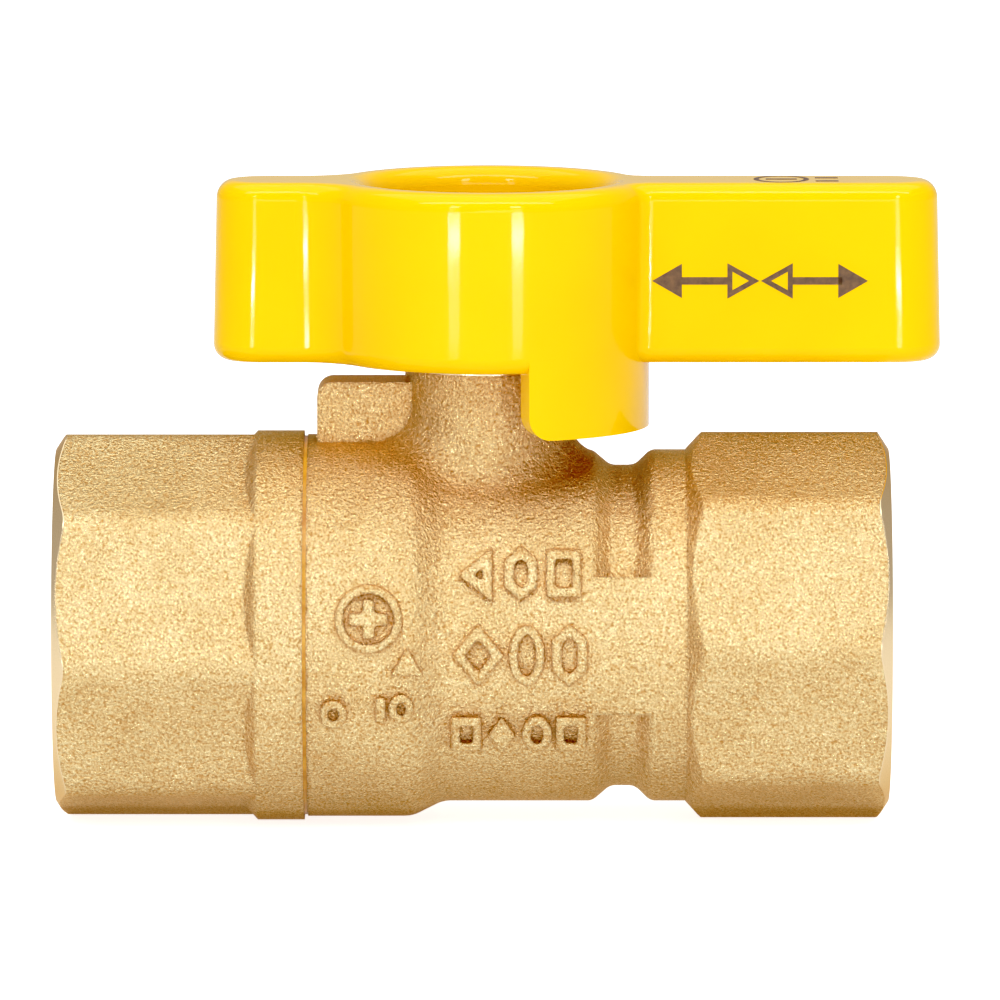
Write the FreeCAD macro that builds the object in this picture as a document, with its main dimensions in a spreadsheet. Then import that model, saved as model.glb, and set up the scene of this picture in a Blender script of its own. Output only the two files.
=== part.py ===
import FreeCAD
import Part
import Sketcher

import math
import os

# A two-piece brass gas valve: a forged body and a screwed-in end cap hold a floating ball between two
# seats, and a cast lever on the stem turns the ball a quarter turn.
#
# Row frame: the origin is the centre of the end cap's pipe mouth, +X runs through the valve towards
# the body's own pipe mouth, +Z follows the stem up to the lever. Every piece is drawn about the
# centre of the ball, and its placement moves it along the run by the reach of the end cap.

SIZES = {
    # The run, measured along X from the centre of the ball.
    "cap_reach": 29.5,
    "body_reach": 27.5,
    "joint_face": 12.5,
    "sealant_gap": 0.25,
    "sealant_inner_radius": 11.7,
    "sealant_outer_radius": 13.0,
    # Octagonal pipe ends, tapped 1/2-14 pipe thread.
    "octagon_flats": 25.0,
    "octagon_edge_round": 2.6,
    "octagon_start": 13.6,
    "octagon_run_in": 1.4,
    "octagon_run_in_radius": 12.1,
    "octagon_run_in_reach": 13.625,
    "octagon_clear_radius": 15.0,
    "octagon_clear_lead": 1.0,
    "end_bevel_radius": 12.1,
    "end_bevel_slope": 33.0,
    "end_bevel_clear": 2.0,
    "cap_clocking": 5.7,
    "port_crest_radius": 9.1,
    "port_depth": 13.6,
    "port_mouth_bevel": 0.4,
    "port_pitch": 1.814,
    "port_thread_depth": 1.0,
    "port_thread_length": 10.0,
    "port_thread_overlap": 0.1,
    "flow_radius": 6.0,
    # Outside of the body.
    "chamber_radius": 13.1,
    "chamber_end": 5.1,
    "barrel_radius": 12.05,
    "barrel_start": 3.0,
    "shoulder_round": 2.2,
    "waist_radius": 11.0,
    "waist_start": 7.2,
    "waist_floor_start": 8.45,
    "waist_floor_end": 10.1,
    "waist_end": 11.2,
    "waist_half_sweep": 67.0,
    "waist_round": 1.0,
    # Stem neck and stop lugs.
    "neck_radius": 5.6,
    "neck_top": 17.9,
    "neck_root_round": 2.8,
    "lug_reach": 11.6,
    "lug_width": 4.5,
    "lug_top": 17.0,
    "lug_floor": 8.0,
    "back_lug_floor": 3.0,
    "lug_root": 4.5,
    "lug_round": 1.1,
    # Inside of the body and the cap.
    "shank_radius": 11.35,
    "shank_bore_radius": 11.45,
    "shank_end": 5.7,
    "shank_bore_end": 5.4,
    "shank_pitch": 1.5,
    "shank_thread_depth": 0.7,
    "shank_thread_turns": 3,
    "cavity_radius": 10.4,
    "cavity_end": 5.9,
    "seat_pocket_radius": 9.35,
    "seat_pocket_end": 10.15,
    "stem_bore_radius": 3.55,
    "flange_bore_radius": 4.9,
    "flange_bore_top": 12.9,
    # Collar of the end cap.
    "collar_radius": 13.35,
    "collar_start": 15.7,
    "collar_bevel": 0.9,
    "collar_bevel_radius": 12.35,
    # Ball and seats.
    "ball_radius": 9.75,
    "slot_width": 4.0,
    "slot_floor": 6.9,
    "seat_outer_radius": 9.3,
    "seat_inner_radius": 6.1,
    "seat_front": 6.1,
    "seat_back": 10.1,
    "seat_clearance": 0.02,
    # Stem.
    "tang_thickness": 3.8,
    "tang_width": 7.0,
    "tang_foot": 7.05,
    "flange_radius": 4.75,
    "flange_foot": 9.9,
    "flange_top": 12.2,
    "stem_radius": 3.5,
    "ring_groove_radius": 2.4,
    "ring_groove_width": 1.4,
    "lower_ring_height": 14.2,
    "upper_ring_height": 16.2,
    "ring_section_radius": 0.56,
    "ring_centre_radius": 2.97,
    "stem_flats": 5.0,
    "stem_shoulder": 18.0,
    "stem_screw_radius": 2.5,
    "stem_screw_start": 21.2,
    "stem_top": 27.6,
    "stem_screw_pitch": 0.8,
    "stem_screw_depth": 0.4,
    "stem_screw_first": 22.4,
    "stem_screw_turns": 6,
    # Lever.
    "lever_bottom": 18.4,
    "lever_top": 30.7,
    "hub_radius": 11.1,
    "cup_radius": 8.3,
    "web_top": 21.4,
    "long_arm": 31.0,
    "short_arm": 18.7,
    "arm_width": 7.6,
    "arm_taper": 1.2,
    "arm_corner_round": 3.2,
    "long_arm_root_round": 1.2,
    "short_arm_root_round": 4.0,
    "lever_edge_round": 1.2,
    "lever_foot_round": 1.1,
    "skirt_inner_radius": 8.9,
    "skirt_bottom": 13.9,
    "skirt_half_sweep": 75.0,
    "skirt_corner_round": 1.6,
    "lever_hole_gap": 0.05,
    # Fasteners on the stem.
    "washer_top": 22.2,
    "washer_radius": 5.0,
    "washer_hole_radius": 2.7,
    "spring_washer_top": 23.4,
    "spring_washer_radius": 4.5,
    "spring_washer_slit": 0.8,
    "nut_top": 27.1,
    "nut_flats": 8.0,
    "nut_hole_radius": 2.55,
    "nut_bevel_slope": 30.0,
}

doc = FreeCAD.newDocument("GasValve")
sheet = doc.addObject("Spreadsheet::Sheet", "Sizes")
for row, (size_name, size_value) in enumerate(SIZES.items(), 1):
    sheet.set(f"A{row}", size_name)
    sheet.set(f"B{row}", str(size_value))
    sheet.setAlias(f"B{row}", size_name)
doc.recompute()

pieces = []


def value(expression):
    """The number an expression over the sheet comes to, in millimetres or degrees."""
    result = sheet.evalExpression(expression)
    return float(getattr(result, "Value", result))


def new_piece(name):
    """An empty body for one piece, moved along the run from the ball's centre to the row frame."""
    body = doc.addObject("PartDesign::Body", name)
    body.Label = name
    body.setExpression("Placement.Base.x", "Sizes.cap_reach")
    pieces.append(body)
    return body


def finish(feature):
    """Works the feature out and stops on the first one that fails."""
    doc.recompute()
    if not feature.isValid() or feature.Shape.isNull() or not feature.Shape.isValid():
        piece = feature.getParentGeoFeatureGroup().Label
        raise RuntimeError(f"{piece} {feature.Label}: {feature.getStatusString()}")
    return feature


def datum(body, role):
    """One of the body's own origin planes or axes."""
    return next(item for item in body.Origin.OriginFeatures if item.Role == role)


def new_sketch(body, name, plane, lift=None):
    """An empty sketch on an origin plane, optionally lifted along the plane's normal."""
    sketch = body.newObject("Sketcher::SketchObject", name)
    sketch.AttachmentSupport = (datum(body, plane), [""])
    sketch.MapMode = "FlatFace"
    if lift:
        sketch.setExpression("AttachmentOffset.Base.z", lift)
    return sketch


def fix(sketch, kind, places, expression):
    """A driving dimension bound to an expression."""
    index = sketch.addConstraint(Sketcher.Constraint(kind, *places, value(expression)))
    sketch.setExpression(f"Constraints[{index}]", expression)


def draw_outline(sketch, corners):
    """A closed outline through the corners, each a pair of expressions.

    A third item "arc" makes the stretch to the next corner an arc about the sketch's origin. That
    next corner gives its height as None, because the arc's radius sets it.
    """
    points = []
    for corner in corners:
        across = value(corner[0])
        if corner[1] is None:
            up = math.sqrt(points[-1].Length ** 2 - across ** 2)
        else:
            up = value(corner[1])
        points.append(FreeCAD.Vector(across, up, 0))
    count = len(corners)
    starts = []
    ends = []
    for index, corner in enumerate(corners):
        here = points[index]
        there = points[(index + 1) % count]
        # An arc always runs counter-clockwise, so its ends swap where the outline runs clockwise.
        forward = len(corner) < 3 or here.cross(there).z > 0
        starts.append(1 if forward else 2)
        ends.append(2 if forward else 1)
        if len(corner) < 3:
            sketch.addGeometry(Part.LineSegment(here, there), False)
            continue
        circle = Part.Circle(FreeCAD.Vector(), FreeCAD.Vector(0, 0, 1), here.Length)
        first, last = (here, there) if forward else (there, here)
        first_angle = math.atan2(first.y, first.x)
        last_angle = math.atan2(last.y, last.x)
        sketch.addGeometry(Part.ArcOfCircle(circle, first_angle, last_angle), False)
        sketch.addConstraint(Sketcher.Constraint("Coincident", index, 3, -1, 1))
    for index in range(count):
        following = (index + 1) % count
        sketch.addConstraint(
            Sketcher.Constraint("Coincident", index, ends[index], following, starts[following])
        )
    for index, corner in enumerate(corners):
        fix(sketch, "DistanceX", (-1, 1, index, starts[index]), corner[0])
        if corner[1] is not None:
            fix(sketch, "DistanceY", (-1, 1, index, starts[index]), corner[1])


def round_corner(sketch, corner, radius):
    """Rounds one corner of a straight-sided outline; the corner keeps its own driving dimensions."""
    lines = [item for item in sketch.Geometry if item.TypeId == "Part::GeomLineSegment"]
    before = (corner - 1) % len(lines)
    point = sketch.getPoint(corner, 1)
    directions = []
    for line in (before, corner):
        start = sketch.getPoint(line, 1)
        end = sketch.getPoint(line, 2)
        away = end - start if line == corner else start - end
        directions.append(point + away * 0.3)
    sketch.fillet(before, corner, directions[0], directions[1], value(radius), True, True)
    arc = max(index for index, item in enumerate(sketch.Geometry) if item.TypeId == "Part::GeomArcOfCircle")
    fix(sketch, "Radius", (arc,), radius)


def draw_circle(sketch, radius, across="0", up="0"):
    """A circle about a point given by expressions."""
    centre = FreeCAD.Vector(value(across), value(up), 0)
    circle = Part.Circle(centre, FreeCAD.Vector(0, 0, 1), value(radius))
    index = sketch.addGeometry(circle, False)
    fix(sketch, "Radius", (index,), radius)
    if across == "0" and up == "0":
        sketch.addConstraint(Sketcher.Constraint("Coincident", index, 3, -1, 1))
    else:
        fix(sketch, "DistanceX", (-1, 1, index, 3), across)
        fix(sketch, "DistanceY", (-1, 1, index, 3), up)


def regular_corners(sides, flats, first):
    """Corners of a regular polygon with the given distance across flats, first corner at an angle."""
    corners = []
    for number in range(sides):
        turn = f"({first} + {number * 360.0 / sides})"
        reach = f"{flats} / 2 / cos({180.0 / sides})"
        corners.append((f"{reach} * cos({turn})", f"{reach} * sin({turn})"))
    return corners


def extrude(kind, body, sketch, name, length, backwards=False, taper=None):
    """A pad or a pocket of the sketch, as long as the expression says."""
    feature = body.newObject(kind, name)
    feature.Profile = sketch
    feature.Type = 0
    feature.setExpression("Length", length)
    feature.Reversed = backwards
    if taper:
        feature.setExpression("TaperAngle", taper)
    return finish(feature)


def pad(body, sketch, name, length, backwards=False, taper=None):
    return extrude("PartDesign::Pad", body, sketch, name, length, backwards, taper)


def pocket(body, sketch, name, length, backwards=False):
    return extrude("PartDesign::Pocket", body, sketch, name, length, backwards)


def turn(kind, body, sketch, name, axis, sweep="360"):
    """A revolution or a groove of the sketch about an origin axis, half the sweep to either side."""
    feature = body.newObject(kind, name)
    feature.Profile = sketch
    feature.ReferenceAxis = (datum(body, axis), [""])
    feature.setExpression("Angle", sweep)
    feature.Midplane = sweep != "360"
    return finish(feature)


def revolve(body, name, axis, corners, rounds=None):
    """A turned shape from an outline in the XZ plane; rounds maps a corner's number to its radius."""
    sketch = new_sketch(body, name + "_outline", "XZ_Plane")
    draw_outline(sketch, corners)
    for corner, radius in (rounds or {}).items():
        round_corner(sketch, corner, radius)
    return turn("PartDesign::Revolution", body, sketch, name, axis)


def turn_away(body, name, axis, corners, sweep="360", rounds=None):
    """The same outline turned out of the body."""
    sketch = new_sketch(body, name + "_outline", "XZ_Plane")
    draw_outline(sketch, corners)
    for corner, radius in (rounds or {}).items():
        round_corner(sketch, corner, radius)
    return turn("PartDesign::Groove", body, sketch, name, axis, sweep)


def round_edges(body, name, radius, test):
    """A fillet on every edge of the body so far that passes the test."""
    base = body.Tip
    names = []
    for number, edge in enumerate(base.Shape.Edges, 1):
        if test(edge):
            names.append(f"Edge{number}")
    if not names:
        raise ValueError(f"{name}: no edge to round")
    fillet = body.newObject("PartDesign::Fillet", name)
    fillet.Base = (base, names)
    fillet.setExpression("Radius", radius)
    return finish(fillet)


def is_upright(edge, across, along, reach=0.6):
    """Whether an edge stands along Z near a place in plan."""
    first = edge.Vertexes[0].Point
    last = edge.Vertexes[-1].Point
    if abs(first.z - last.z) < 1.0:
        return False
    middle = (first + last) * 0.5
    return math.hypot(middle.x - across, middle.y - along) < reach


def pipe_thread(body, name, mouth, inward):
    """The port's thread: a V groove wound inwards from a little outside the mouth."""
    half_width = "Sizes.port_thread_depth * tan(30)"
    overlap = "Sizes.port_thread_overlap"
    start = f"({mouth} - {inward} * Sizes.port_pitch)"
    opening = f"{half_width} * (1 + {overlap})"
    inner_radius = f"Sizes.port_crest_radius - Sizes.port_thread_depth * {overlap}"
    sketch = new_sketch(body, name + "_outline", "XZ_Plane")
    draw_outline(
        sketch,
        [
            (f"{start} - {opening}", inner_radius),
            (start, "Sizes.port_crest_radius + Sizes.port_thread_depth"),
            (f"{start} + {opening}", inner_radius),
        ],
    )
    helix = body.newObject("PartDesign::SubtractiveHelix", name)
    helix.Profile = sketch
    helix.ReferenceAxis = (datum(body, "X_Axis"), [""])
    helix.Mode = 0
    helix.setExpression("Pitch", "Sizes.port_pitch")
    helix.setExpression("Height", "Sizes.port_thread_length + Sizes.port_pitch")
    helix.Reversed = inward < 0
    return finish(helix)


def make_body():
    body = new_piece("body")
    revolve(
        body,
        "barrel",
        "X_Axis",
        [
            ("-(Sizes.joint_face - Sizes.sealant_gap)", "0"),
            ("-(Sizes.joint_face - Sizes.sealant_gap)", "Sizes.chamber_radius"),
            ("-Sizes.chamber_end", "Sizes.chamber_radius"),
            ("-Sizes.barrel_start", "Sizes.barrel_radius"),
            ("Sizes.octagon_start + Sizes.octagon_run_in", "Sizes.barrel_radius"),
            ("Sizes.octagon_start + Sizes.octagon_run_in", "0"),
        ],
        {2: "Sizes.shoulder_round", 3: "Sizes.shoulder_round"},
    )
    # The waist is sunk into the top and the bottom only; the sides keep the barrel's full radius.
    # Its lips are rounded out just above the barrel, so that they meet it without a step.
    lip = "(Sizes.barrel_radius + 0.01)"
    run_out = "1"
    for name, side in (("waist_top", 1), ("waist_bottom", -1)):
        turn_away(
            body,
            name,
            "X_Axis",
            [
                (f"Sizes.waist_start - {run_out}", f"{side} * ({lip} + 1)"),
                (f"Sizes.waist_start - {run_out}", f"{side} * {lip}"),
                ("Sizes.waist_start", f"{side} * {lip}"),
                ("Sizes.waist_floor_start", f"{side} * Sizes.waist_radius"),
                ("Sizes.waist_floor_end", f"{side} * Sizes.waist_radius"),
                ("Sizes.waist_end", f"{side} * {lip}"),
                (f"Sizes.waist_end + {run_out}", f"{side} * {lip}"),
                (f"Sizes.waist_end + {run_out}", f"{side} * ({lip} + 1)"),
            ],
            "2 * Sizes.waist_half_sweep",
            {number: "Sizes.waist_round" for number in (2, 3, 4, 5)},
        )
    stem_neck(body)
    octagon(body, "octagon", "Sizes.octagon_start", "Sizes.body_reach - Sizes.octagon_start", "0", 1)
    turn_away(
        body,
        "octagon_run_in",
        "X_Axis",
        [
            ("Sizes.octagon_start - Sizes.octagon_clear_lead", "Sizes.octagon_run_in_radius"),
            ("Sizes.octagon_start", "Sizes.octagon_run_in_radius"),
            ("Sizes.octagon_start + Sizes.octagon_run_in", "Sizes.octagon_run_in_reach"),
            ("Sizes.octagon_start - Sizes.octagon_clear_lead", "Sizes.octagon_clear_radius"),
        ],
    )
    stop_lugs(body)
    turn_away(
        body,
        "inside",
        "X_Axis",
        [
            ("-(Sizes.joint_face - Sizes.sealant_gap)", "0"),
            ("-(Sizes.joint_face - Sizes.sealant_gap)", "Sizes.shank_bore_radius"),
            ("-Sizes.shank_bore_end", "Sizes.shank_bore_radius"),
            ("-Sizes.shank_bore_end", "Sizes.cavity_radius"),
            ("Sizes.cavity_end", "Sizes.cavity_radius"),
            ("Sizes.cavity_end", "Sizes.seat_pocket_radius"),
            ("Sizes.seat_pocket_end", "Sizes.seat_pocket_radius"),
            ("Sizes.seat_pocket_end", "Sizes.flow_radius"),
            ("Sizes.body_reach - Sizes.port_depth", "Sizes.flow_radius"),
            ("Sizes.body_reach - Sizes.port_depth", "Sizes.port_crest_radius"),
            ("Sizes.body_reach - Sizes.port_mouth_bevel", "Sizes.port_crest_radius"),
            ("Sizes.body_reach", "Sizes.port_crest_radius + Sizes.port_mouth_bevel"),
            ("Sizes.body_reach", "0"),
        ],
    )
    turn_away(
        body,
        "stem_bore",
        "Z_Axis",
        [
            ("0", "Sizes.slot_floor"),
            ("Sizes.flange_bore_radius", "Sizes.slot_floor"),
            ("Sizes.flange_bore_radius", "Sizes.flange_bore_top"),
            ("Sizes.stem_bore_radius", "Sizes.flange_bore_top"),
            ("Sizes.stem_bore_radius", "Sizes.neck_top"),
            ("0", "Sizes.neck_top"),
        ],
    )
    pipe_thread(body, "port_thread", "Sizes.body_reach", -1)


def octagon(body, name, start, length, first_turn, end_side):
    """An octagonal pipe end along the run, with rounded long edges and a turned bevel at its face."""
    sketch = new_sketch(body, name + "_outline", "YZ_Plane", start)
    draw_outline(sketch, regular_corners(8, "Sizes.octagon_flats", first_turn))
    pad(body, sketch, name, length)
    corner_radius = value("Sizes.octagon_flats / 2 / cos(22.5)")

    def is_long_edge(edge):
        first = edge.Vertexes[0].Point
        last = edge.Vertexes[-1].Point
        if edge.Curve.TypeId != "Part::GeomLine" or abs(first.x - last.x) < 1.0:
            return False
        return abs(math.hypot(first.y, first.z) - corner_radius) < 0.01

    round_edges(body, name + "_edge_round", "Sizes.octagon_edge_round", is_long_edge)
    face = f"({start} + {length})" if end_side > 0 else start
    outer = "(Sizes.end_bevel_radius + Sizes.end_bevel_clear)"
    inset = f"{end_side} * Sizes.end_bevel_clear * tan(Sizes.end_bevel_slope)"
    turn_away(
        body,
        name + "_bevel",
        "X_Axis",
        [
            (face, "Sizes.end_bevel_radius"),
            (f"{face} - {inset}", outer),
            (face, outer),
        ],
    )


def stem_neck(body):
    """The round neck round the stem, blended into the barrel and the chamber by a large fillet."""
    revolve(
        body,
        "neck",
        "Z_Axis",
        [
            ("0", "Sizes.slot_floor"),
            ("Sizes.neck_radius", "Sizes.slot_floor"),
            ("Sizes.neck_radius", "Sizes.neck_top"),
            ("0", "Sizes.neck_top"),
        ],
    )
    radius = value("Sizes.neck_radius")
    chamber = value("Sizes.chamber_radius")

    def is_root(edge):
        middle = edge.valueAt((edge.FirstParameter + edge.LastParameter) / 2)
        on_neck = abs(math.hypot(middle.x, middle.y) - radius) < 0.02
        return on_neck and edge.BoundBox.ZMax < chamber + 0.1 and edge.Length > 0.05

    round_edges(body, "neck_root_round", "Sizes.neck_root_round", is_root)


def stop_lugs(body):
    """Two upright lugs a quarter turn apart, one over the chamber and one behind the stem."""
    half = "Sizes.lug_width / 2"
    near = "Sizes.lug_root"
    far = "Sizes.lug_reach"
    lugs = {
        "side_lug": [
            (f"-{far}", f"-{half}"),
            (f"-{near}", f"-{half}"),
            (f"-{near}", half),
            (f"-{far}", half),
        ],
        "back_lug": [(f"-{half}", near), (half, near), (half, far), (f"-{half}", far)],
    }
    floors = {"side_lug": "Sizes.lug_floor", "back_lug": "Sizes.back_lug_floor"}
    for name, corners in lugs.items():
        sketch = new_sketch(body, name + "_outline", "XY_Plane", floors[name])
        draw_outline(sketch, corners)
        pad(body, sketch, name, f"Sizes.lug_top - {floors[name]}")
    reach = value("Sizes.lug_reach")
    half_width = value("Sizes.lug_width") / 2
    top = value("Sizes.lug_top")

    def is_lug_edge(edge):
        first = edge.Vertexes[0].Point
        last = edge.Vertexes[-1].Point
        middle = (first + last) * 0.5
        if edge.Curve.TypeId != "Part::GeomLine":
            return False
        outer_side = abs(middle.x + reach) < 0.01 and abs(middle.y) < half_width + 0.01
        outer_back = abs(middle.y - reach) < 0.01 and abs(middle.x) < half_width + 0.01
        return abs(middle.z - top) < 0.01 and (outer_side or outer_back)

    round_edges(body, "lug_round", "Sizes.lug_round", is_lug_edge)


def make_end_cap():
    body = new_piece("end_cap")
    octagon(
        body,
        "octagon",
        "-Sizes.cap_reach",
        "Sizes.cap_reach - Sizes.collar_start",
        "Sizes.cap_clocking",
        -1,
    )
    revolve(
        body,
        "collar",
        "X_Axis",
        [
            ("-(Sizes.collar_start + Sizes.collar_bevel)", "0"),
            ("-(Sizes.collar_start + Sizes.collar_bevel)", "Sizes.collar_bevel_radius"),
            ("-Sizes.collar_start", "Sizes.collar_radius"),
            ("-Sizes.joint_face", "Sizes.collar_radius"),
            ("-Sizes.joint_face", "Sizes.shank_radius"),
            ("-Sizes.shank_end", "Sizes.shank_radius"),
            ("-Sizes.shank_end", "0"),
        ],
    )
    turn_away(
        body,
        "inside",
        "X_Axis",
        [
            ("-Sizes.cap_reach", "0"),
            ("-Sizes.cap_reach", "Sizes.port_crest_radius + Sizes.port_mouth_bevel"),
            ("-(Sizes.cap_reach - Sizes.port_mouth_bevel)", "Sizes.port_crest_radius"),
            ("-(Sizes.cap_reach - Sizes.port_depth)", "Sizes.port_crest_radius"),
            ("-(Sizes.cap_reach - Sizes.port_depth)", "Sizes.flow_radius"),
            ("-Sizes.seat_pocket_end", "Sizes.flow_radius"),
            ("-Sizes.seat_pocket_end", "Sizes.seat_pocket_radius"),
            ("-Sizes.shank_end", "Sizes.seat_pocket_radius"),
            ("-Sizes.shank_end", "0"),
        ],
    )
    # Thread of the shank, as equal V rings.
    half_width = "Sizes.shank_thread_depth * tan(30)"
    first = "(Sizes.joint_face - Sizes.shank_pitch)"
    groove = turn_away(
        body,
        "shank_groove",
        "X_Axis",
        [
            (f"-{first} - {half_width}", "Sizes.shank_radius"),
            (f"-{first}", "Sizes.shank_radius - Sizes.shank_thread_depth"),
            (f"-{first} + {half_width}", "Sizes.shank_radius"),
        ],
    )
    repeat(body, groove, "shank_thread", "X_Axis", "Sizes.shank_pitch", "Sizes.shank_thread_turns")
    pipe_thread(body, "port_thread", "-Sizes.cap_reach", 1)


def repeat(body, feature, name, axis, pitch, count):
    """Copies of a feature along an origin axis at a constant pitch."""
    pattern = body.newObject("PartDesign::LinearPattern", name)
    pattern.Originals = [feature]
    pattern.Direction = (datum(body, axis), [""])
    pattern.setExpression("Length", f"{pitch} * ({count} - 1)")
    pattern.setExpression("Occurrences", count)
    body.Tip = pattern
    return finish(pattern)


def make_joint_sealant():
    body = new_piece("joint_sealant")
    revolve(
        body,
        "bead",
        "X_Axis",
        [
            ("-Sizes.joint_face", "Sizes.sealant_inner_radius"),
            ("-Sizes.joint_face", "Sizes.sealant_outer_radius"),
            ("-(Sizes.joint_face - Sizes.sealant_gap)", "Sizes.sealant_outer_radius"),
            ("-(Sizes.joint_face - Sizes.sealant_gap)", "Sizes.sealant_inner_radius"),
        ],
    )


def make_ball():
    body = new_piece("ball")
    reach = "sqrt(Sizes.ball_radius ^ 2 - Sizes.flow_radius ^ 2)"
    revolve(body, "sphere", "X_Axis", [(f"-{reach}", "Sizes.flow_radius", "arc"), (reach, None)])
    sketch = new_sketch(body, "slot_outline", "XZ_Plane", "-Sizes.ball_radius")
    half = "Sizes.slot_width / 2"
    draw_outline(
        sketch,
        [
            (f"-{half}", "Sizes.slot_floor"),
            (half, "Sizes.slot_floor"),
            (half, "Sizes.ball_radius"),
            (f"-{half}", "Sizes.ball_radius"),
        ],
    )
    pocket(body, sketch, "slot", "2 * Sizes.ball_radius", True)


def make_seat(name, side):
    """A seat ring whose front edge is turned to the ball; side is its direction along the run."""
    body = new_piece(name)
    touch = "(Sizes.ball_radius + Sizes.seat_clearance)"
    inner_reach = f"sqrt({touch} ^ 2 - Sizes.seat_inner_radius ^ 2)"
    revolve(
        body,
        "ring",
        "X_Axis",
        [
            (f"{side} * {inner_reach}", "Sizes.seat_inner_radius", "arc"),
            (f"{side} * Sizes.seat_front", None),
            (f"{side} * Sizes.seat_front", "Sizes.seat_outer_radius"),
            (f"{side} * Sizes.seat_back", "Sizes.seat_outer_radius"),
            (f"{side} * Sizes.seat_back", "Sizes.seat_inner_radius"),
        ],
    )


def make_stem():
    body = new_piece("stem")
    revolve(
        body,
        "shaft",
        "Z_Axis",
        [
            ("0", "Sizes.flange_foot"),
            ("Sizes.flange_radius", "Sizes.flange_foot"),
            ("Sizes.flange_radius", "Sizes.flange_top"),
            ("Sizes.stem_radius", "Sizes.flange_top"),
            ("Sizes.stem_radius", "Sizes.stem_screw_start"),
            ("Sizes.stem_screw_radius", "Sizes.stem_screw_start"),
            ("Sizes.stem_screw_radius", "Sizes.stem_top"),
            ("0", "Sizes.stem_top"),
        ],
    )
    # Two flats that turn the lever with the stem.
    for name, side in (("left_flat", -1), ("right_flat", 1)):
        sketch = new_sketch(body, name + "_outline", "XY_Plane", "Sizes.stem_screw_start")
        inner = f"{side} * Sizes.stem_flats / 2"
        outer = f"{side} * (Sizes.stem_radius + 1)"
        reach = "Sizes.stem_radius + 1"
        draw_outline(sketch, [(inner, f"-({reach})"), (outer, f"-({reach})"), (outer, reach), (inner, reach)])
        pocket(body, sketch, name, "Sizes.stem_screw_start - Sizes.stem_shoulder")
    # The tang that reaches into the ball's slot.
    sketch = new_sketch(body, "tang_outline", "XY_Plane", "Sizes.tang_foot")
    half = "Sizes.tang_thickness / 2"
    reach = "Sizes.tang_width / 2"
    draw_outline(sketch, [(f"-{half}", f"-{reach}"), (half, f"-{reach}"), (half, reach), (f"-{half}", reach)])
    pad(body, sketch, "tang", "Sizes.flange_foot - Sizes.tang_foot")
    for name, height in (("lower", "Sizes.lower_ring_height"), ("upper", "Sizes.upper_ring_height")):
        half = "Sizes.ring_groove_width / 2"
        turn_away(
            body,
            name + "_ring_groove",
            "Z_Axis",
            [
                ("Sizes.ring_groove_radius", f"{height} - {half}"),
                ("Sizes.stem_radius + 1", f"{height} - {half}"),
                ("Sizes.stem_radius + 1", f"{height} + {half}"),
                ("Sizes.ring_groove_radius", f"{height} + {half}"),
            ],
        )
    half = "Sizes.stem_screw_depth * tan(30)"
    groove = turn_away(
        body,
        "screw_groove",
        "Z_Axis",
        [
            ("Sizes.stem_screw_radius", f"Sizes.stem_screw_first - {half}"),
            ("Sizes.stem_screw_radius", f"Sizes.stem_screw_first + {half}"),
            ("Sizes.stem_screw_radius - Sizes.stem_screw_depth", "Sizes.stem_screw_first"),
        ],
    )
    repeat(body, groove, "stem_screw", "Z_Axis", "Sizes.stem_screw_pitch", "Sizes.stem_screw_turns")


def make_ring(name, inner, outer, bottom, top):
    """A flat ring about the stem."""
    body = new_piece(name)
    revolve(body, "ring", "Z_Axis", [(inner, bottom), (outer, bottom), (outer, top), (inner, top)])
    return body


def make_o_ring(name, height):
    body = new_piece(name)
    sketch = new_sketch(body, "section", "XZ_Plane")
    draw_circle(sketch, "Sizes.ring_section_radius", "Sizes.ring_centre_radius", height)
    turn("PartDesign::Revolution", body, sketch, "ring", "Z_Axis")


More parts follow.
